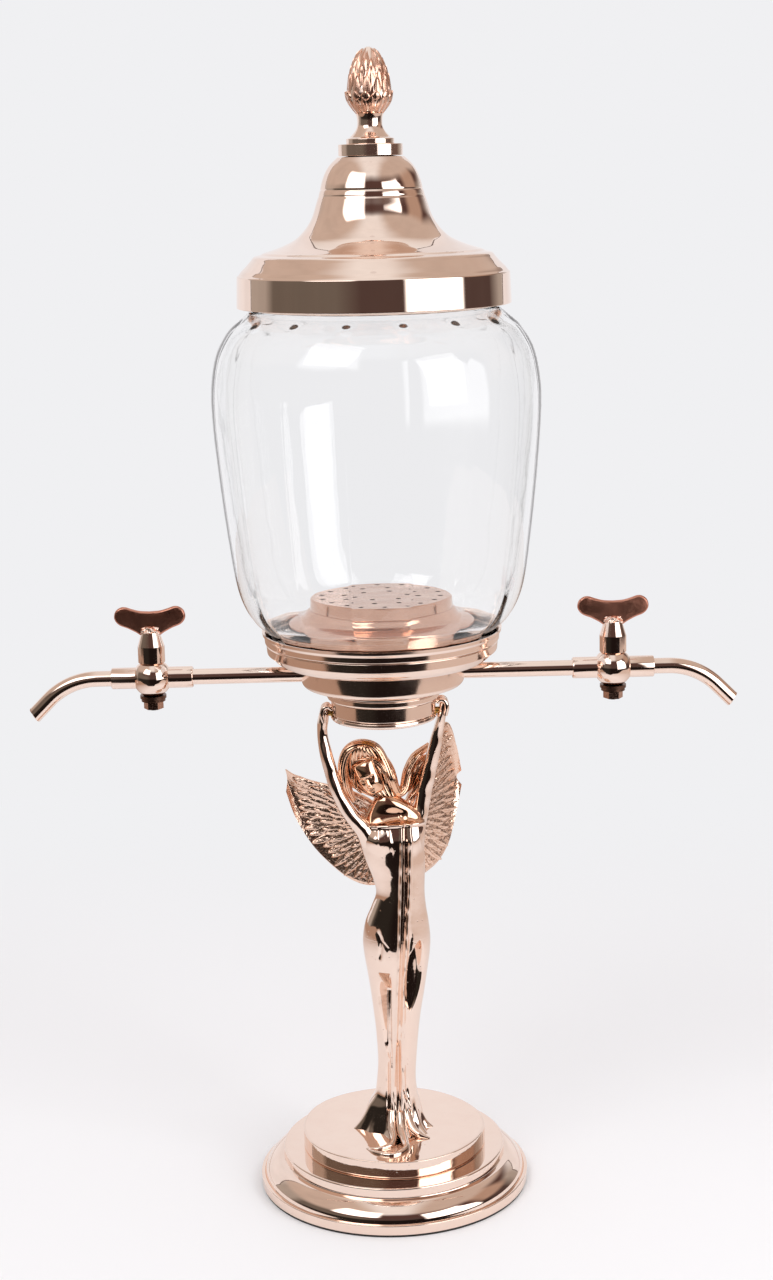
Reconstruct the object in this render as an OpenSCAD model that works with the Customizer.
// Absinthe fountain: a glass water jar held up by a winged cast figure, with two taps.
// Millimetres. Z is up from the table, X runs along the two tap arms, -Y is the front.

/* [Base] */
// Thickness of the pad under the base
pad_t = 1; // [0.6:0.1:2]
// Radius of the base at its rim
base_r = 60.6; // [57:0.2:66]
// Height of the spun base shell above the pad
base_h = 16.5; // [14.5:0.5:22]
// Sheet thickness of the base shell
base_wall = 1.5; // [1:0.1:2.2]
// Height of the plain band at the rim
base_band_h = 4.4; // [3:0.2:6]
// Radius of the raised step on the base
base_step_r = 50; // [47:0.5:53]
// Height of the raised step
base_step_h = 4.4; // [3:0.2:6]
// Space under the iron weight inside the base
weight_gap = 0.8; // [0.4:0.1:3]
// Radius of the bolt that holds the figure down
bolt_r = 4; // [3:0.25:5]

/* [Figure] */
// Radius of the figure's round plinth
plinth_r = 40.8; // [36:0.2:44]
// Height of the plinth
plinth_h = 8; // [6:0.5:11]
// Height from the base to the underside of the collar
figure_h = 198.5; // [180:0.5:215]
// Breadth of the gown at the hips
hip_w = 30.2; // [27:0.2:34]
// Span of each wing from the spine to its tip
wing_span = 51; // [42:0.5:56]
// Thickness of the wing castings
wing_t = 2.4; // [1.8:0.1:3.2]
// Radius of the screws that hold the wings and the hands
small_screw_r = 1.5; // [1:0.1:1.8]

/* [Collar and manifold] */
// Radius of the collar's top flange
collar_r = 24.5; // [23.8:0.1:27]
// Height of the collar
collar_h = 15.8; // [14:0.2:19]
// Wall of the collar
collar_wall = 3; // [2:0.1:3.6]
// Radius of the manifold block
manifold_r = 35.4; // [32:0.2:39]
// Height of the manifold block
manifold_h = 10; // [9:0.2:14]
// Radius of the threaded outlet tube
tube_r = 8; // [7:0.25:9]
// Radius of the water bore in the outlet tube
tube_bore_r = 5.5; // [4:0.25:6]

/* [Gallery and jar] */
// Radius of the gallery at its rim
gallery_r = 51.9; // [50:0.1:55]
// Height of the gallery
gallery_h = 14.7; // [13:0.1:18]
// Sheet thickness of the gallery
gallery_wall = 1.5; // [1:0.1:2]
// Greatest radius of the glass jar
jar_r = 69.9; // [64:0.1:75]
// Height of the glass jar
jar_h = 156.7; // [140:0.1:175]
// Wall thickness of the glass
jar_wall = 3; // [2.2:0.1:3.6]
// Thickness of the jar's floor
jar_floor_t = 5; // [4:0.2:6.5]
// Radius of the jar's neck
jar_neck_r = 51.8; // [50.4:0.1:53]
// Thickness of the rubber gaskets
gasket_t = 1.6; // [1:0.1:2.4]
// Radius of the flange under the strainer
flange_r = 42.5; // [38:0.5:43.5]
// Height of the flange under the strainer
flange_h = 14; // [12:0.5:17]
// Radius of the strainer drum
strainer_r = 29.7; // [26:0.1:33]
// Height of the strainer drum
strainer_h = 5.2; // [4:0.2:7]
// Radius of the strainer's holes
strainer_hole_r = 1; // [0.7:0.1:1.2]

/* [Lid and finial] */
// Radius of the lid at its lower edge
lid_r = 57.8; // [56.6:0.1:61]
// Height of the lid's plain band
lid_band_h = 13.2; // [11:0.2:16]
// Height of the lid's domed part above the band
lid_dome_h = 48; // [42:0.5:56]
// Sheet thickness of the lid
lid_wall = 1.2; // [0.9:0.1:1.6]
// Depth of the spigot that enters the jar's neck
spigot_h = 9; // [6:0.5:12]
// Radius of the disc under the finial
lid_collar_r = 13.4; // [12:0.1:15]
// Height of the disc under the finial
lid_collar_h = 4.7; // [3.5:0.1:6]
// Greatest radius of the cone finial
finial_r = 10.3; // [9:0.1:12]
// Height of the finial with its foot
finial_h = 39; // [34:0.5:44]

/* [Tap arms] */
// Distance from the middle of the fountain to each tap
tap_x = 100.3; // [92:0.1:112]
// Outer radius of the water pipes
pipe_r = 3.4; // [3:0.1:3.8]
// Wall of the water pipes
pipe_wall = 1.1; // [0.8:0.1:1.3]
// Radius of the ball of the tap body
ball_r = 7.8; // [7.4:0.1:8.6]
// Reach of the tap's sleeves on each side of its ball
sleeve_reach = 17.7; // [15:0.1:20]
// Wall of the tap's sleeves around the pipe
sleeve_wall = 1.25; // [0.9:0.05:1.5]
// Radius of the tap key's head
key_r = 5.8; // [5.4:0.1:6.4]
// Length of the tap handle from lobe to lobe
handle_w = 30.9; // [26:0.1:36]
// Thickness of the tap handle
handle_t = 2.5; // [1.8:0.1:3]
// Bend radius of the spout along its centre line
spout_bend_r = 30; // [22:0.5:38]
// Angle that the spout turns down
spout_angle = 45; // [35:1:55]
// Straight length of the spout before its bend
spout_lead = 6.4; // [5:0.2:11]
// Straight length of the spout after its bend
spout_drop = 10.5; // [8:0.5:15]
// Slant of the spout's end cut against the level
spout_cut = 15; // [0:1:30]

/* [Hidden] */
$fn = 96;

copper = [0.80, 0.55, 0.43];
glass = [0.88, 0.93, 0.95, 0.35];
steel = [0.70, 0.71, 0.72];
rubber = [0.10, 0.10, 0.10];

// Play of a screw in its hole, of a plug in its cock, and between loose parts
screw_play = 0.1;
plug_play = 0.05;
seat_gap = 0.3;

// Heights from the table, each piece standing on the one before
foot_z = pad_t;
plinth_z = foot_z + base_h;
collar_z = plinth_z + figure_h;
manifold_z = collar_z + collar_h;
gallery_z = manifold_z + manifold_h;
jar_z = gallery_z + gallery_wall + gasket_t;
jar_floor_z = jar_z + jar_floor_t;
jar_top_z = jar_z + jar_h;
flange_z = jar_floor_z + gasket_t;
strainer_z = flange_z + flange_h;
spigot_z = jar_top_z + seat_gap;
lid_z = jar_top_z - lid_band_h / 2;
lid_top_z = lid_z + lid_band_h + lid_dome_h;
finial_z = lid_top_z + lid_collar_h;
rim_z = gallery_z + gallery_h;

// A smooth curve through points of any dimension, n steps to each span
function between(a, b, c, d, t) =
    0.5 * (2 * b + (c - a) * t + (2 * a - 5 * b + 4 * c - d) * t * t
    + (3 * b - a - 3 * c + d) * t * t * t);
function smooth_through(p, n) = [
    for (i = [0 : len(p) - 2], k = [0 : n - 1])
        between(p[max(i - 1, 0)], p[i], p[i + 1], p[min(i + 2, len(p) - 1)], k / n),
    p[len(p) - 1]
];

// The same outline moved inwards by a sheet's thickness
function unit(v) = v / norm(v);
function inset(p, t) = [
    for (i = [0 : len(p) - 1])
        let (d = unit(p[min(i + 1, len(p) - 1)] - p[max(i - 1, 0)]))
        p[i] + t * [-d[1], d[0]]
];
function reversed(p) = [for (i = [len(p) - 1 : -1 : 0]) p[i]];

// A closed body of level rings, each given as [z, centre x, centre y, half x, half y].
// Its relief is how far the skin stands out at a height and an angle.
module ring_loft(stations, sides, steps, relief = function(z, a) 0) {
    rings = smooth_through(stations, steps);
    last = len(rings) - 1;
    points = [
        for (s = rings, j = [0 : sides - 1])
            let (a = 360 * j / sides, r = relief(s[0], a))
            [s[1] + (s[3] + r) * cos(a), s[2] + (s[4] + r) * sin(a), s[0]]
    ];
    walls = [
        for (i = [0 : last - 1], j = [0 : sides - 1])
            let (k = (j + 1) % sides, low = i * sides, high = low + sides)
            each [[low + j, high + j, high + k], [low + j, high + k, low + k]]
    ];
    floor_face = [for (j = [0 : sides - 1]) j];
    roof_face = [for (j = [sides - 1 : -1 : 0]) last * sides + j];
    polyhedron(points, concat([floor_face], walls, [roof_face]), convexity = 6);
}

// A ring about the vertical axis
module ring(r_out, r_in, z, h) {
    translate([0, 0, z])
        difference() {
            cylinder(r = r_out, h = h);
            translate([0, 0, -1]) cylinder(r = r_in, h = h + 2);
        }
}

module hex_nut(flats_r, hole_r, z, h) {
    translate([0, 0, z])
        difference() {
            cylinder(r = flats_r / cos(30), h = h, $fn = 6);
            translate([0, 0, -1]) cylinder(r = hole_r, h = h + 2);
        }
}

// Base: pad, spun shell, iron weight, and the bolt that pulls the figure down
bolt_head_h = 5;
bolt_head_r = bolt_r * 1.6;
washer_t = 1.5;
pocket_h = bolt_head_h + washer_t + 0.5;
weight_z = foot_z + weight_gap;
weight_t = base_h - base_wall - weight_gap;
weight_r = base_step_r - base_wall - 1.2;
washer_z = weight_z + pocket_h - washer_t;

function foot_outline() =
    let (
        band_z = foot_z + base_band_h,
        step_z = plinth_z - base_step_h,
        rise = step_z - band_z,
        run = base_r - 1.8 - base_step_r
    )
    concat(
        [[base_r, foot_z], [base_r, band_z - 0.6], [base_r - 0.6, band_z], [base_r - 1.8, band_z]],
        smooth_through([
            [base_r - 1.8, band_z + 0.2],
            [base_r - 1.8 - 0.10 * run, band_z + 0.30 * rise],
            [base_r - 1.8 - 0.36 * run, band_z + 0.66 * rise],
            [base_r - 1.8 - 0.70 * run, band_z + 0.90 * rise],
            [base_step_r, step_z]
        ], 4),
        [[base_step_r, plinth_z - 0.7], [base_step_r - 0.7, plinth_z]]
    );

module base_pad() {
    color(rubber) cylinder(r = base_r - 0.5, h = pad_t);
}

module base_foot() {
    outer = foot_outline();
    top_z = plinth_z - base_wall;
    inner = [for (p = inset(outer, base_wall)) if (p[1] > foot_z + 0.5 && p[1] < top_z - 0.4) p];
    color(copper)
        difference() {
            rotate_extrude() polygon(concat([[0, foot_z]], outer, [[0, plinth_z]]));
            rotate_extrude() polygon(concat(
                [[0, foot_z - 1], [base_r - base_wall, foot_z - 1]],
                inner,
                [[base_step_r - base_wall - 0.7, top_z], [0, top_z]]
            ));
            cylinder(r = bolt_r + screw_play, h = plinth_z + 1);
        }
}

module base_weight() {
    color(steel)
        difference() {
            translate([0, 0, weight_z]) cylinder(r = weight_r, h = weight_t);
            translate([0, 0, weight_z - 1]) cylinder(r = bolt_head_r + 2.5, h = pocket_h + 1);
            cylinder(r = bolt_r + screw_play, h = plinth_z);
        }
}

module base_washer() {
    color(steel) ring(bolt_head_r + 2, bolt_r + screw_play, washer_z, washer_t);
}

module base_bolt() {
    color(steel) {
        translate([0, 0, washer_z - bolt_head_h]) cylinder(r = bolt_head_r, h = bolt_head_h, $fn = 6);
        translate([0, 0, washer_z - 0.1]) cylinder(r = bolt_r, h = plinth_z + bolt_depth - washer_z - 1);
    }
}

// Figure. Heights run from the plinth's underside and follow figure_h; breadths follow hip_w.
nominal_figure_h = 198.5;
nominal_hip_w = 30.2;
nominal_plinth_h = 8;
up = figure_h / nominal_figure_h;
wide = hip_w / nominal_hip_w;
bolt_depth = plinth_h + 10;

// Heights between the plinth and the crown move with the neck joint
neck_h = 160.5;
nominal_neck_h = 160.5;
crown_h = 188;
function level(h) =
    h < nominal_neck_h ? h * neck_h / nominal_neck_h
    : h < crown_h ? neck_h + (h - nominal_neck_h) * (crown_h - neck_h) / (crown_h - nominal_neck_h)
    : h;

function placed(stations) = [
    for (s = stations)
        [plinth_z + level(s[0]) * up, s[1] * wide, s[2] * wide, s[3] * wide, s[4] * wide]
];

// Gown from the train on the plinth up to the joint in the neck
gown = [
    [6, 0, 0, 24, 20], [8.6, 0, 0, 20, 16], [11, 0, 0, 16.6, 13.6], [14.5, 0.2, 0, 13.9, 11.2],
    [19, 0.6, 0, 11.6, 9.8], [24, 1.5, 0, 9.6, 8.8], [31, 1.8, 0, 8.7, 8.1], [40, 2.4, 0, 8.6, 7.8],
    [53, 2.8, -0.3, 9.5, 8.2], [62.5, 3, -0.5, 10.6, 8.8], [72, 3.3, -0.4, 12, 9.6],
    [82, 3.4, 0.2, 13.5, 10.6], [90, 3.4, 0.7, 14.7, 11.3], [97, 3.4, 0.8, 15.1, 11.4],
    [105, 3.7, 0.6, 14.1, 10.4], [112, 4.6, 0.2, 12.2, 9], [119, 5.5, -0.3, 10.8, 8],
    [126, 4.9, -0.7, 11.6, 8.2], [133, 3.7, -1, 13.1, 9], [139, 2.6, -0.8, 13.9, 9.4],
    [145, 2.2, -0.2, 14.8, 8.8], [150, 3.4, 0.4, 13.6, 7.6], [154.5, 3.6, 0.8, 11.4, 6.2],
    [158, 2.6, 1, 7.8, 5.2], [160.5, 1.4, 1, 5, 4.6]
];

// Drapery: a bundle of folds down the front, the bust, and the hollow of the back
function bump(x, width) = exp(-(x * x) / (width * width));
function around(a, b) = (a - b + 540) % 360 - 180;
function gown_relief(z, a) =
    let (h = (z - plinth_z) / up)
    wide * (
        1.3 * bump(around(a, 272), 12) * bump(h - level(85), 62)
        + 1.0 * bump(around(a, 296), 9) * bump(h - level(60), 50)
        - 1.0 * bump(around(a, 284), 6) * bump(h - level(75), 60)
        + 2.4 * (bump(around(a, 250), 22) + bump(around(a, 318), 22)) * bump(h - level(140), 8)
        - 1.2 * bump(around(a, 110), 26) * bump(h - level(128), 20)
    );

module figure_body() {
    edge = function(z, a) 0.5 * cos(2 * a + 40) + 0.3 * cos(5 * a);
    lift = plinth_h - nominal_plinth_h;
    raised = [
        for (s = placed(gown))
            [s[0] + lift * max(0, 1 - (s[0] - plinth_z) / 60), s[1], s[2], s[3], s[4]]
    ];
    color(copper)
        difference() {
            union() {
                ring_loft([
                    [plinth_z, 0, 0, plinth_r, plinth_r],
                    [plinth_z + plinth_h - 1.4, 0, 0, plinth_r, plinth_r],
                    [plinth_z + plinth_h - 0.4, 0, 0, plinth_r - 0.5, plinth_r - 0.5],
                    [plinth_z + plinth_h, 0, 0, plinth_r - 1.6, plinth_r - 1.6]
                ], 60, 1, edge);
                ring_loft(raised, 44, 2, function(z, a) gown_relief(z, a));
            }
            cylinder(r = bolt_r + screw_play, h = plinth_z + bolt_depth);
            wing_screw_hole(1);
            wing_screw_hole(-1);
        }
}

// A slightly larger skin of the torso, which the arms and wings are cut to
module torso_seat(gap) {
    skin = placed(gown);
    top = skin[len(skin) - 1];
    upper = [
        for (s = skin)
            if (s[0] > plinth_z + level(100) * up) [s[0], s[1], s[2], s[3] + gap, s[4] + gap]
    ];
    ring_loft(concat(upper, [[top[0] + gap, top[1], top[2], top[3], top[4]]]), 44, 2,
        function(z, a) gown_relief(z, a));
}

// Neck, head and hair, leaning to the left
head_mass = [
    [160.8, 1.4, 1, 5, 4.6], [161.8, 0.8, 0.8, 5, 4.8], [164, -2.4, 0.4, 8, 6.8],
    [168.5, -6, 0.4, 12.2, 10], [174, -7.6, 0.6, 12.5, 11], [179, -9, 0.6, 11, 10.4],
    [184, -9.8, 0.6, 7.8, 8], [187, -9.8, 0.6, 4, 4.4], [188, -9.8, 0.6, 1.4, 1.6]
];
hair_lobe = [
    [160.9, 7, 5, 3.6, 3.2], [163.5, 9.8, 7.2, 4.6, 3.6], [168, 13, 9.2, 5, 3.2],
    [173.5, 15.6, 10, 4.4, 3], [178.5, 18, 10.2, 3, 2.4], [182, 19.4, 10.2, 1, 1]
];

module figure_head() {
    color(copper) {
        ring_loft(placed(head_mass), 28, 3);
        ring_loft(placed(hair_lobe), 16, 2);
    }
}

// Arms, from the shoulder up to the hands on the collar
collar_neck_r = collar_r - 1.7;
hand_x = collar_neck_r + 0.3;

function arm(side, stations, hand_h) = concat(
    placed(stations),
    [
        [collar_z + 0.5, side * (hand_x + 2.5), 0, 2.3, 3.2],
        [collar_z + 0.6 * hand_h, side * (hand_x + 2.3), 0, 2.2, 3.6],
        [collar_z + hand_h, side * (hand_x + 2.2), 0, 1.5, 2.6]
    ]
);
left_arm = [
    [141, -7, -2.4, 4.4, 4.4], [146, -8.7, -2.8, 4.5, 4.4], [150, -11, -3, 4.7, 4.3],
    [154, -13.8, -3.2, 4.5, 4], [158, -16.7, -3.2, 4, 3.7], [162.5, -19.3, -3, 3.5, 3.4],
    [168, -21.6, -2.8, 3.2, 3.2], [175, -23.7, -2.2, 3, 3], [182, -25.4, -1.6, 2.85, 2.8],
    [189, -26.7, -0.8, 2.5, 2.6], [194, -27.1, -0.3, 2.2, 2.5]
];
right_arm = [
    [140, 12.2, 1.6, 4.4, 4], [146, 12.9, 2, 4.3, 4.1], [150, 13.8, 2.6, 4.1, 4],
    [154, 14.9, 3, 3.8, 3.8], [158.4, 15.9, 3.2, 3.6, 3.6], [164.4, 17.1, 3.2, 3.5, 3.4],
    [170, 18.5, 3, 3.4, 3.3], [176, 20, 2.6, 3.2, 3.1], [182, 21.5, 2, 3, 2.9],
    [189.4, 23, 1.2, 2.6, 2.6], [194, 24.1, 0.6, 2.2, 2.4]
];
left_hand_h = 5.6;
right_hand_h = 8.6;

module arm_left() {
    color(copper)
        difference() {
            ring_loft(arm(-1, left_arm, left_hand_h), 18, 2);
            torso_seat(0.25);
            hand_screw_hole(-1);
        }
}

module arm_right() {
    color(copper)
        difference() {
            ring_loft(arm(1, right_arm, right_hand_h), 18, 2);
            torso_seat(0.25);
            hand_screw_hole(1);
        }
}

// Wings: cambered plates with an upper and a lower edge, as [share of span, height]
wing_left_top = [
    [0, 149], [0.22, 157.5], [0.42, 161.8], [0.62, 164], [0.78, 165.8], [0.92, 168.4], [1, 170.6]
];
wing_left_low = [
    [0, 122], [0.22, 118], [0.42, 120.4], [0.62, 127.8], [0.78, 136.4], [0.92, 148.2], [1, 160]
];
wing_right_top = [
    [0, 149], [0.22, 161], [0.42, 171], [0.62, 180.5], [0.78, 185], [0.92, 173.5], [1, 160]
];
wing_right_low = [
    [0, 122], [0.22, 118.4], [0.42, 119], [0.62, 121.8], [0.78, 128.4], [0.92, 143], [1, 153]
];
wing_root = [5, 9];
root_gap = 1.6;
spine_angle = 111;

module wing_plate(top_edge, low_edge, angle, curl) {
    columns = 5;
    rows = 12;
    tops = smooth_through(top_edge, columns);
    lows = smooth_through(low_edge, columns);
    last = len(tops) - 1;
    across = [-sin(angle), cos(angle)];
    skin = function(side) [
        for (i = [0 : last], j = [0 : rows])
            let (
                share = tops[i][0],
                s = root_gap + (wing_span - root_gap) * share,
                v = j / rows,
                h = lows[i][1] + (tops[i][1] - lows[i][1]) * v,
                edge = min(1, 0.35 + 2.6 * min(v, 1 - v) + 0.35 * (1 - share)),
                camber = curl * share * (3 * sin(180 * v) + share),
                off = camber + side * wing_t / 2 * edge + side * 0.25 * cos(360 * 5 * v)
            )
            [
                wing_root[0] + s * cos(angle) + across[0] * off,
                wing_root[1] + s * sin(angle) + across[1] * off,
                plinth_z + level(h) * up
            ]
    ];
    n = rows + 1;
    back = (last + 1) * n;
    cells = [
        for (i = [0 : last - 1], j = [0 : rows - 1])
            let (a = i * n + j, b = a + n)
            each [
                [a, a + 1, b + 1], [a, b + 1, b],
                [back + a, back + b + 1, back + a + 1], [back + a, back + b, back + b + 1]
            ]
    ];
    rim_low = [
        for (i = [0 : last - 1])
            let (a = i * n, b = a + n)
            each [[a, b, back + b], [a, back + b, back + a]]
    ];
    rim_top = [
        for (i = [0 : last - 1])
            let (a = i * n + rows, b = a + n)
            each [[a, back + b, b], [a, back + a, back + b]]
    ];
    root = [
        for (j = [0 : rows - 1])
            each [[j, back + j + 1, j + 1], [j, back + j, back + j + 1]]
    ];
    tip = [
        for (j = [0 : rows - 1])
            let (a = last * n + j)
            each [[a, a + 1, back + a + 1], [a, back + a + 1, back + a]]
    ];
    faces = concat(cells, rim_low, rim_top, root, tip);
    polyhedron(concat(skin(-1), skin(1)), faces, convexity = 8);
}

// Screw pads on the figure's back, one to each side of the spine
pad_z = plinth_z + level(134) * up;
pad_reach = 4.6;
function back_direction() = [cos(spine_angle), sin(spine_angle)];
function pad_place(side) = [
    wing_root[0] - 0.4 - side * pad_reach * sin(spine_angle),
    wing_root[1] + side * pad_reach * cos(spine_angle)
];
screw_out = 6.4;
screw_in = 9;
screw_head_r = small_screw_r * 1.9;
screw_head_h = 1.4;

module on_back(side, out) {
    translate([pad_place(side)[0], pad_place(side)[1], pad_z])
        rotate([0, 90, spine_angle])
            translate([0, 0, out])
                children();
}

module wing_screw_hole(side) {
    on_back(side, -screw_in - 0.5)
        cylinder(r = small_screw_r + screw_play, h = screw_in + screw_out + 2, $fn = 32);
}

module wing(side, top_edge, low_edge, angle, curl) {
    color(copper)
        difference() {
            union() {
                wing_plate(top_edge, low_edge, angle, curl);
                on_back(side, -6) cylinder(r = 3.6, h = screw_out + 6, $fn = 32);
            }
            torso_seat(0.25);
            wing_screw_hole(side);
            on_back(side, screw_out) cylinder(r = screw_head_r + screw_play, h = 3 * screw_head_h, $fn = 32);
        }
}

module wing_left() {
    wing(1, wing_left_top, wing_left_low, 168, -1);
}

module wing_right() {
    wing(-1, wing_right_top, wing_right_low, 53, 1);
}

module wing_screws() {
    color(copper)
        for (side = [-1, 1])
            on_back(side, 0) {
                translate([0, 0, -screw_in])
                    cylinder(r = small_screw_r, h = screw_in + screw_out + 0.5, $fn = 32);
                translate([0, 0, screw_out]) cylinder(r = screw_head_r, h = screw_head_h, $fn = 32);
            }
}

// Collar that the hands carry
module collar() {
    step_z = manifold_z - 6;
    bead_z = collar_z + 2.8;
    web = 3;
    color(copper)
        difference() {
            rotate_extrude() polygon([
                [0, collar_z],
                [collar_neck_r - 1.6, collar_z], [collar_neck_r - 0.4, collar_z + 0.4],
                [collar_neck_r + 0.4, collar_z + 1.3], [collar_neck_r + 0.2, bead_z - 0.4],
                [collar_neck_r - 0.5, bead_z], [collar_neck_r, bead_z + 0.5],
                [collar_neck_r, step_z - 0.5], [collar_neck_r - 0.5, step_z],
                [collar_r - 0.5, step_z + 0.1], [collar_r, step_z + 0.6],
                [collar_r, step_z + 2.6], [collar_r - 0.4, step_z + 2.9], [collar_r, step_z + 3.2],
                [collar_r, manifold_z - 0.3], [collar_r - 0.3, manifold_z], [0, manifold_z]
            ]);
            translate([0, 0, collar_z - 1])
                cylinder(r = collar_neck_r - collar_wall, h = collar_h - web + 1);
            cylinder(r = tube_r + screw_play, h = manifold_z + 1);
            hand_screw_hole(-1);
            hand_screw_hole(1);
        }
}

hand_screw_z = collar_z + 3;
module hand_screw_hole(side) {
    translate([0, 0, hand_screw_z])
        rotate([0, 90 * side, 0])
            translate([0, 0, collar_neck_r - collar_wall - 1])
                cylinder(r = small_screw_r + screw_play, h = collar_wall + 3.4, $fn = 32);
}

module hand_screws() {
    inner_r = collar_neck_r - collar_wall;
    color(copper)
        for (side = [-1, 1])
            translate([0, 0, hand_screw_z])
                rotate([0, 90 * side, 0]) {
                    translate([0, 0, inner_r - 1.6])
                        cylinder(r = small_screw_r, h = collar_wall + 3.6, $fn = 32);
                    translate([0, 0, inner_r - 2.2]) cylinder(r = small_screw_r * 1.8, h = 1.4, $fn = 32);
                }
}

// Manifold: a round block that splits the water between the two arms
pipe_z = manifold_z + manifold_h * 0.47;
port_depth = 16;
pipe_bore_r = pipe_r - pipe_wall;

module along_arm(side) {
    translate([0, 0, pipe_z]) rotate([0, 90 * side, 0]) children();
}

module manifold() {
    edge_r = 2.4;
    color(copper)
        difference() {
            rotate_extrude() polygon(concat(
                [[0, manifold_z]],
                [
                    for (a = [-90 : 15 : 0])
                        [manifold_r - edge_r + edge_r * cos(a), manifold_z + edge_r + edge_r * sin(a)]
                ],
                [[manifold_r, gallery_z], [0, gallery_z]]
            ));
            translate([0, 0, manifold_z - 1]) cylinder(r = tube_r + screw_play, h = manifold_h + 2);
            for (side = [-1, 1])
                along_arm(side) {
                    cylinder(r = pipe_bore_r, h = manifold_r);
                    translate([0, 0, manifold_r - port_depth])
                        cylinder(r = pipe_r + screw_play, h = port_depth + 2);
                }
        }
}

// Gallery: the spun dish in which the jar stands
function gallery_outline() =
    let (h = gallery_h)
    [
        [manifold_r + 0.2, gallery_z], [gallery_r - 8.4, gallery_z + 0.06 * h],
        [gallery_r - 5.2, gallery_z + 0.17 * h], [gallery_r - 3.5, gallery_z + 0.29 * h],
        [gallery_r - 3.1, gallery_z + 0.34 * h], [gallery_r - 2.5, gallery_z + 0.35 * h],
        [gallery_r - 1.8, gallery_z + 0.5 * h], [gallery_r - 1.5, gallery_z + 0.64 * h],
        [gallery_r - 1.9, gallery_z + 0.66 * h], [gallery_r - 1.2, gallery_z + 0.68 * h],
        [gallery_r - 0.6, gallery_z + 0.85 * h], [gallery_r, rim_z]
    ];

module gallery() {
    outer = gallery_outline();
    floor_z = gallery_z + gallery_wall;
    color(copper)
        difference() {
            rotate_extrude() polygon(concat([[0, gallery_z]], outer, [[0, rim_z]]));
            rotate_extrude() polygon([
                [0, floor_z], [gallery_r - 9.4, floor_z], [gallery_r - 6.6, floor_z + 1.2],
                [gallery_r - 4.8 - (gallery_wall - 1.5), floor_z + 3.6],
                [gallery_r - 3.3 - (gallery_wall - 1.5), rim_z - 5.6],
                [gallery_r - gallery_wall, rim_z], [gallery_r - gallery_wall + 0.2, rim_z + 1],
                [0, rim_z + 1]
            ]);
            cylinder(r = tube_r + screw_play, h = rim_z);
        }
}

// Outlet: a threaded tube clamps jar, gallery, manifold and collar together
outlet_washer_t = 1;
outlet_nut_h = 5;
outlet_web = 3;
outlet_top_z = strainer_z - 0.5;
outlet_washer_z = manifold_z - outlet_web - outlet_washer_t;
outlet_nut_z = outlet_washer_z - outlet_nut_h;

module outlet_tube() {
    color(steel)
        difference() {
            translate([0, 0, outlet_nut_z - 1]) cylinder(r = tube_r, h = outlet_top_z - outlet_nut_z + 1);
            translate([0, 0, pipe_z - pipe_bore_r - 1])
                cylinder(r = tube_bore_r, h = outlet_top_z - pipe_z + 10);
            for (side = [-1, 1])
                along_arm(side) cylinder(r = pipe_bore_r - 0.2, h = tube_r + 2);
        }
}

module outlet_washer() {
    color(steel) ring(tube_r + 5.2, tube_r + screw_play, outlet_washer_z, outlet_washer_t);
}

module outlet_nut() {
    color(steel) hex_nut(tube_r + 3.6, tube_r + screw_play, outlet_nut_z, outlet_nut_h);
}

module gasket_lower() {
    color(rubber) ring(gallery_r - 12, tube_r + 0.6, gallery_z + gallery_wall, gasket_t);
}

module gasket_upper() {
    color(rubber) ring(tube_r + 8, tube_r + 0.3, jar_floor_z, gasket_t);
}

// Jar: blown glass, widest above the middle, its foot inside the gallery
jar_play = 0.5;
jar_foot_r = gallery_r - gallery_wall - jar_play;
jar_neck_h = 8;
jar_neck_z = jar_top_z - jar_neck_h;
jar_hole_r = tube_r + 0.8;

// Outline of the belly, as [share of its height, share of the way out from foot or neck]
belly_low = [
    [0, -0.005], [0.045, 0.3], [0.1, 0.5], [0.17, 0.63], [0.28, 0.736],
    [0.4, 0.834], [0.535, 0.925], [0.65, 0.985], [0.74, 1]
];
belly_top = [
    [0.81, 0.95], [0.868, 0.85], [0.912, 0.69], [0.947, 0.5], [0.977, 0.24], [1, 0.02]
];

function jar_outline() =
    let (
        low = jar_z,
        tall = jar_neck_z - rim_z
    )
    concat(
        [
            [jar_foot_r - 6.4, low], [jar_foot_r - 4, low + 0.9],
            [jar_foot_r - 2.6, low + 3.2], [jar_foot_r - 1.2, rim_z - 4]
        ],
        smooth_through([
            for (p = belly_low) [jar_foot_r + p[1] * (jar_r - jar_foot_r), rim_z + p[0] * tall],
            for (p = belly_top) [jar_neck_r + p[1] * (jar_r - jar_neck_r), rim_z + p[0] * tall]
        ], 2),
        [[jar_neck_r, jar_neck_z + 2], [jar_neck_r, jar_top_z - 1], [jar_neck_r - 0.6, jar_top_z]]
    );

module glass_jar() {
    outer = jar_outline();
    inner = [for (p = inset(outer, jar_wall)) if (p[1] > jar_floor_z + 3 && p[1] < jar_top_z - 1.2) p];
    color(glass)
        rotate_extrude() polygon(concat(
            [[jar_hole_r, jar_z]],
            outer,
            [[jar_neck_r - jar_wall + 0.6, jar_top_z], [jar_neck_r - jar_wall, jar_top_z - 1]],
            reversed(inner),
            [
                [inner[0][0] - 1.4, jar_floor_z + 0.9], [inner[0][0] - 4, jar_floor_z],
                [jar_hole_r, jar_floor_z]
            ]
        ));
}

// Strainer: a hollow stepped flange screwed down on the tube, and a pierced drum on top
flange_wall = 1.6;
drum_wall = 1.2;
drum_play = 0.1;
lip_h = 2;

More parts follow.
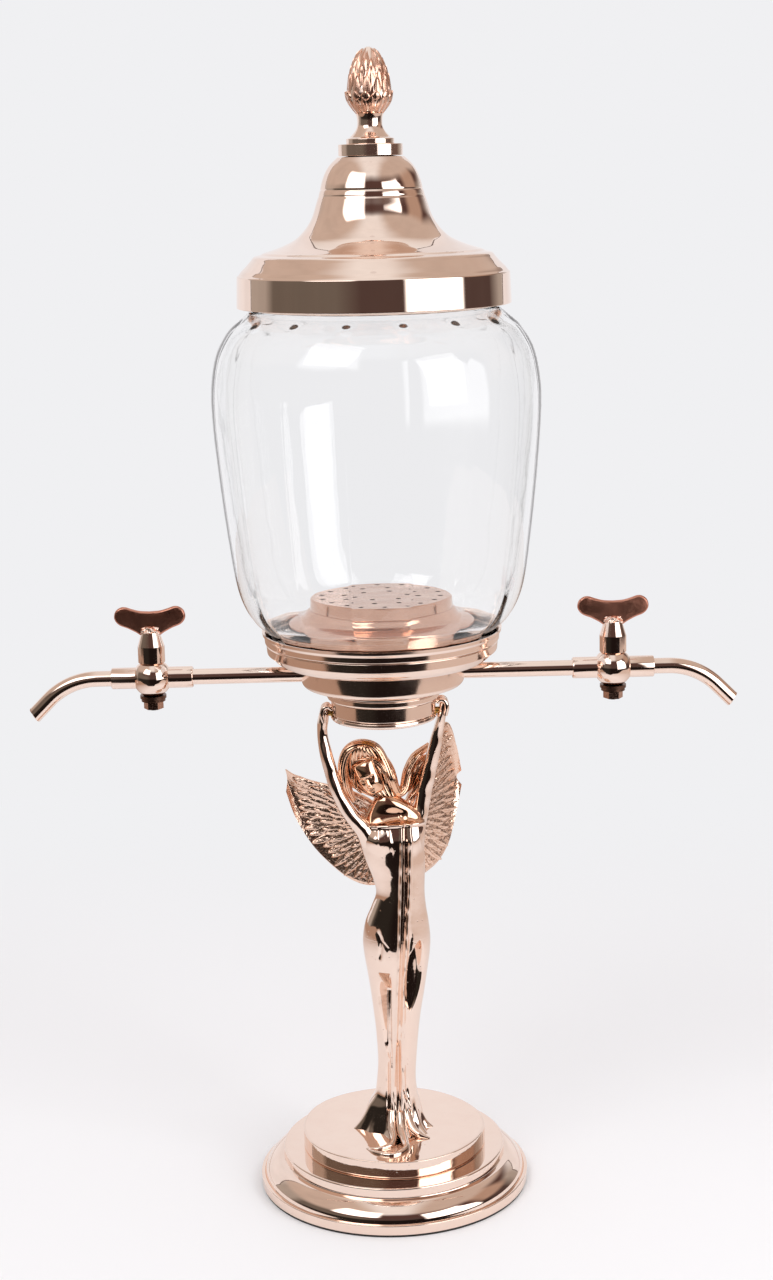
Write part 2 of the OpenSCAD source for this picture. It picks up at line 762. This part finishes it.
module strainer_flange() {
    skirt_z = jar_floor_z + seat_gap;
    shoulder_z = strainer_z - 5.4;
    color(copper)
        difference() {
            rotate_extrude() polygon([
                [0, skirt_z], [flange_r - 2.4, skirt_z],
                [flange_r - 1.2, skirt_z + 3], [flange_r, shoulder_z - 3],
                [flange_r - 0.6, shoulder_z - 0.8], [flange_r - 2.4, shoulder_z],
                [strainer_r + 4, shoulder_z + 1.4], [strainer_r + 2, shoulder_z + 2.6],
                [strainer_r + 1, strainer_z - 0.6], [strainer_r + 0.4, strainer_z],
                [strainer_r - drum_wall - drum_play, strainer_z],
                [strainer_r - drum_wall - drum_play, strainer_z + lip_h],
                [strainer_r - drum_wall - drum_play - 1.4, strainer_z + lip_h],
                [strainer_r - drum_wall - drum_play - 1.4, strainer_z], [0, strainer_z]
            ]);
            rotate_extrude() polygon([
                [tube_r + 4, skirt_z - 1], [flange_r - 2.4 - flange_wall, skirt_z - 1],
                [flange_r - 1.2 - flange_wall, skirt_z + 3], [flange_r - flange_wall, shoulder_z - 3.4],
                [flange_r - 3.4, shoulder_z - flange_wall], [strainer_r + 1, strainer_z - 5],
                [strainer_r - 1.6, strainer_z - flange_wall], [tube_r + 4, strainer_z - flange_wall]
            ]);
            ring(tube_r + 5, 0, skirt_z - 1, flange_z - skirt_z + 1);
            cylinder(r = tube_r + screw_play, h = strainer_z + lip_h);
        }
}

module strainer_cap() {
    top_z = strainer_z + strainer_h;
    color(copper)
        difference() {
            rotate_extrude() polygon([
                [0, strainer_z], [strainer_r, strainer_z], [strainer_r, top_z - 0.6],
                [strainer_r - 0.6, top_z], [0, top_z]
            ]);
            translate([0, 0, strainer_z - 1])
                cylinder(r = strainer_r - drum_wall, h = strainer_h - drum_wall + 1);
            for (row = [1 : 3], k = [0 : 6 * row - 1])
                rotate(360 * k / (6 * row) + 11 * row)
                    translate([strainer_r * (0.06 + 0.27 * row), 0, strainer_z])
                        cylinder(r = strainer_hole_r, h = strainer_h + 1, $fn = 16);
        }
}

// Lid: spun shell with a plain band, a shoulder and a bell, on an inner ring with a spigot
function lid_outline() =
    let (
        band_z = lid_z + lid_band_h,
        h = lid_dome_h,
        foot_r = lid_r - 13.4,
        neck_r = lid_collar_r + 0.6
    )
    concat(
        [
            [lid_r, lid_z], [lid_r - 0.5, band_z - 0.3], [lid_r - 1, band_z + 0.2],
            [lid_r - 2.2, band_z + 1.2], [lid_r - 4.4, band_z + 0.075 * h],
            [lid_r - 6.8, band_z + 0.13 * h], [lid_r - 8, band_z + 0.168 * h],
            [foot_r + 1.4, band_z + 0.19 * h], [foot_r + 0.8, band_z + 0.198 * h]
        ],
        smooth_through([
            [foot_r, band_z + 0.2 * h],
            [neck_r + 0.80 * (foot_r - neck_r), band_z + 0.242 * h],
            [neck_r + 0.62 * (foot_r - neck_r), band_z + 0.295 * h],
            [neck_r + 0.52 * (foot_r - neck_r), band_z + 0.347 * h],
            [neck_r + 0.435 * (foot_r - neck_r), band_z + 0.41 * h],
            [neck_r + 0.36 * (foot_r - neck_r), band_z + 0.493 * h],
            [neck_r + 0.303 * (foot_r - neck_r), band_z + 0.6 * h],
            [neck_r + 0.252 * (foot_r - neck_r), band_z + 0.7 * h],
            [neck_r + 0.218 * (foot_r - neck_r), band_z + 0.785 * h],
            [neck_r + 0.166 * (foot_r - neck_r), band_z + 0.868 * h],
            [neck_r + 0.096 * (foot_r - neck_r), band_z + 0.934 * h],
            [neck_r, band_z + h]
        ], 2)
    );

stud_r = 3;

module lid_shell() {
    outer = lid_outline();
    inner = [for (p = inset(outer, lid_wall)) if (p[1] > lid_z + 1 && p[1] < lid_top_z - lid_wall - 0.6) p];
    color(copper)
        difference() {
            rotate_extrude() polygon(concat([[0, lid_z]], outer, [[0, lid_top_z]]));
            rotate_extrude() polygon(concat(
                [[0, lid_z - 1], [lid_r - lid_wall, lid_z - 1]],
                inner,
                [[lid_collar_r - 0.4, lid_top_z - lid_wall], [0, lid_top_z - lid_wall]]
            ));
            cylinder(r = stud_r + screw_play, h = lid_top_z + 1);
        }
}

module lid_insert() {
    shelf_t = 1.5;
    spigot_r = jar_neck_r - jar_wall - 0.8;
    color(copper)
        difference() {
            union() {
                translate([0, 0, spigot_z]) cylinder(r = lid_r - lid_wall - 0.6, h = shelf_t);
                translate([0, 0, spigot_z - spigot_h]) cylinder(r = spigot_r, h = spigot_h + 0.5);
            }
            translate([0, 0, spigot_z - spigot_h - 1])
                cylinder(r = spigot_r - 1.4, h = spigot_h + shelf_t + 2);
        }
}

module lid_collar() {
    color(copper) ring(lid_collar_r, stud_r + screw_play, lid_top_z, lid_collar_h);
}

// Finial: a turned foot and neck under a scaly cone, given as [share of its height, share of its radius]
cone_z = finial_z + finial_h * 0.31;
cone = [
    [0, 0.56], [0.08, 0.75], [0.16, 0.91], [0.25, 0.99], [0.36, 0.955], [0.47, 0.9], [0.58, 0.83],
    [0.69, 0.745], [0.79, 0.63], [0.9, 0.46], [0.96, 0.3], [1, 0.1]
];

module finial() {
    cone_h = finial_z + finial_h - cone_z;
    r = finial_r;
    stations = [for (s = cone) [cone_z + s[0] * cone_h, 0, 0, s[1] * r, s[1] * r]];
    scales = function(z, a)
        let (t = (z - cone_z) / cone_h)
        t < 0.02 || t > 0.97 ? 0
        : t < 0.2 ? 0.25 * cos(20 * a)
        : 0.4 * cos(12 * a + 180 * floor((t - 0.2) * 9)) * (1 - t);
    color(copper)
        difference() {
            union() {
                rotate_extrude() polygon(concat(
                    [
                        [0, finial_z], [0.97 * r, finial_z],
                        [0.97 * r, finial_z + 2.2], [0.85 * r, finial_z + 2.6]
                    ],
                    smooth_through([
                        [0.82 * r, finial_z + 0.072 * finial_h], [0.62 * r, finial_z + 0.13 * finial_h],
                        [0.52 * r, finial_z + 0.18 * finial_h], [0.5 * r, finial_z + 0.23 * finial_h],
                        [0.52 * r, finial_z + 0.28 * finial_h], [0.57 * r, cone_z + 0.2]
                    ], 3),
                    [[0, cone_z + 0.2]]
                ));
                ring_loft(stations, 60, 2, scales);
            }
            translate([0, 0, finial_z - 1]) cylinder(r = stud_r + screw_play, h = finial_stud_depth + 1);
        }
}

finial_stud_depth = 9;
finial_nut_h = 4;
finial_nut_z = lid_top_z - lid_wall - finial_nut_h;

module finial_stud() {
    color(steel)
        translate([0, 0, finial_nut_z - 2])
            cylinder(r = stud_r, h = finial_z + finial_stud_depth - finial_nut_z + 1.7);
}

module finial_nut() {
    color(steel) hex_nut(stud_r * 1.75, stud_r + screw_play, finial_nut_z, finial_nut_h);
}

// Tap arms. Each is built on the right and mirrored for the left.
sleeve_r = pipe_r + sleeve_wall;
socket_depth = 8;
plug_top_r = 4.2;
plug_low_r = 3.6;
ball_top = ball_r * 0.9;
ball_low = -ball_r * 0.97;
key_head_h = 7.2;
key_cone_h = 6.1;
stub_r = 2;
tap_washer_t = 1.3;
tap_spring_t = 1.3;
tap_nut_h = 3.4;
key_head_z = ball_top + plug_play * 2;
key_top = key_head_z + key_head_h + key_cone_h;
washer_low = ball_low - plug_play * 2 - tap_washer_t;
spring_low = washer_low - tap_spring_t;
nut_low = spring_low - tap_nut_h;

// side is 1 for the right arm and -1 for the left arm
module at_tap(side) {
    translate([side * tap_x, 0, pipe_z]) children();
}

module arm_pipe(side) {
    start = manifold_r - port_depth + 0.3;
    end = tap_x - sleeve_reach + socket_depth - 0.3;
    color(copper)
        along_arm(side)
            translate([0, 0, start])
                difference() {
                    cylinder(r = pipe_r, h = end - start, $fn = 48);
                    translate([0, 0, -1]) cylinder(r = pipe_bore_r, h = end - start + 2, $fn = 48);
                }
}

module tap_body(side) {
    color(copper)
        at_tap(side)
            difference() {
                union() {
                    sphere(r = ball_r);
                    rotate([0, 90, 0]) cylinder(r = sleeve_r, h = 2 * sleeve_reach, center = true);
                }
                translate([0, 0, ball_top + 10]) cube([40, 40, 20], center = true);
                translate([0, 0, ball_low - 10]) cube([40, 40, 20], center = true);
                translate([0, 0, ball_low])
                    cylinder(
                        r1 = plug_low_r + plug_play, r2 = plug_top_r + plug_play,
                        h = ball_top - ball_low
                    );
                rotate([0, 90, 0])
                    cylinder(r = pipe_bore_r, h = 2 * sleeve_reach + 2, center = true, $fn = 48);
                for (end = [-1, 1])
                    rotate([0, 90 * end, 0])
                        translate([0, 0, sleeve_reach - socket_depth])
                            cylinder(r = pipe_r + screw_play, h = socket_depth + 1, $fn = 48);
            }
}

module tap_key(side) {
    slot_depth = 2;
    color(copper)
        at_tap(side)
            difference() {
                union() {
                    translate([0, 0, ball_low])
                        cylinder(r1 = plug_low_r, r2 = plug_top_r, h = ball_top - ball_low);
                    translate([0, 0, ball_top]) cylinder(r = plug_top_r, h = 0.5);
                    translate([0, 0, key_head_z]) cylinder(r = key_r, h = key_head_h);
                    translate([0, 0, key_head_z + key_head_h])
                        cylinder(r1 = key_r, r2 = key_r * 0.68, h = key_cone_h);
                    translate([0, 0, nut_low - 0.6]) cylinder(r = stub_r, h = ball_low - nut_low + 1);
                }
                rotate([0, 90, 0]) cylinder(r = pipe_bore_r - 0.2, h = 20, center = true, $fn = 48);
                translate([0, 0, key_top - slot_depth / 2 + 0.5])
                    cube([20, handle_t + 2 * plug_play, slot_depth + 1], center = true);
            }
}

// Outline of the kidney-shaped handle, as [share of half the width, height over the key]
function handle_outline() =
    let (
        half = [
            [0, -1.9], [0.24, -1.7], [0.40, -0.2], [0.62, 1.6], [0.84, 3.0], [0.96, 4.8],
            [1, 7], [0.95, 9.4], [0.82, 10.9], [0.68, 11.1], [0.5, 10.2], [0.28, 9.3], [0, 9]
        ],
        w = handle_w / 2,
        right = [for (p = half) [p[0] * w, p[1]]]
    )
    concat(
        smooth_through(right, 3),
        [for (p = reversed(smooth_through(right, 3))) if (p[0] > 0.01) [-p[0], p[1]]]
    );

module tap_handle(side) {
    color(copper)
        at_tap(side)
            translate([0, handle_t / 2, key_top])
                rotate([90, 0, 0])
                    linear_extrude(height = handle_t) polygon(handle_outline());
}

module tap_washer(side) {
    color(copper) at_tap(side) ring(key_r - 0.1, stub_r + screw_play, washer_low, tap_washer_t);
}

module tap_spring(side) {
    color(steel) at_tap(side) ring(key_r - 0.6, stub_r + screw_play, spring_low, tap_spring_t);
}

module tap_nut(side) {
    color(copper) at_tap(side) hex_nut(stub_r + 1.7, stub_r + screw_play, nut_low, tap_nut_h);
}

// The run of a spout as a solid rod of the given radius, its straight ends made longer by extra
module spout_rod(rod_r, extra) {
    lead = spout_lead + socket_depth - 0.3 + extra;
    drop_x = spout_bend_r * sin(spout_angle);
    drop_z = -spout_bend_r * (1 - cos(spout_angle));
    rotate([0, -90, 0]) cylinder(r = rod_r, h = lead, $fn = 48);
    translate([0, 0, -spout_bend_r])
        rotate([90, 0, 0])
            rotate(90 - spout_angle)
                rotate_extrude(angle = spout_angle)
                    translate([spout_bend_r, 0]) circle(r = rod_r, $fn = 48);
    translate([drop_x, 0, drop_z])
        rotate([0, 90 + spout_angle, 0]) cylinder(r = rod_r, h = spout_drop + 6 + extra, $fn = 48);
}

module spout(side) {
    bend_x = tap_x + sleeve_reach + spout_lead;
    end_x = spout_bend_r * sin(spout_angle) + spout_drop * cos(spout_angle);
    end_z = -spout_bend_r * (1 - cos(spout_angle)) - spout_drop * sin(spout_angle);
    color(copper)
        mirror([side < 0 ? 1 : 0, 0, 0])
            translate([bend_x, 0, pipe_z])
                difference() {
                    spout_rod(pipe_r, 0);
                    spout_rod(pipe_bore_r, 1);
                    translate([end_x, 0, end_z])
                        rotate([0, -spout_cut, 0])
                            translate([0, 0, -10]) cube([40, 20, 20], center = true);
                }
}

base_pad();
base_foot();
base_weight();
base_washer();
base_bolt();
figure_body();
figure_head();
arm_left();
arm_right();
wing_left();
wing_right();
wing_screws();
collar();
hand_screws();
manifold();
gallery();
outlet_tube();
outlet_washer();
outlet_nut();
gasket_lower();
glass_jar();
gasket_upper();
strainer_flange();
strainer_cap();
lid_shell();
lid_insert();
lid_collar();
finial();
finial_stud();
finial_nut();
arm_pipe(-1);  // arm_pipe_left
tap_body(-1);  // tap_body_left
tap_key(-1);  // tap_key_left
tap_handle(-1);  // tap_handle_left
tap_washer(-1);  // tap_washer_left
tap_spring(-1);  // tap_spring_left
tap_nut(-1);  // tap_nut_left
spout(-1);  // spout_left
arm_pipe(1);  // arm_pipe_right
tap_body(1);  // tap_body_right
tap_key(1);  // tap_key_right
tap_handle(1);  // tap_handle_right
tap_washer(1);  // tap_washer_right
tap_spring(1);  // tap_spring_right
tap_nut(1);  // tap_nut_right
spout(1);  // spout_right
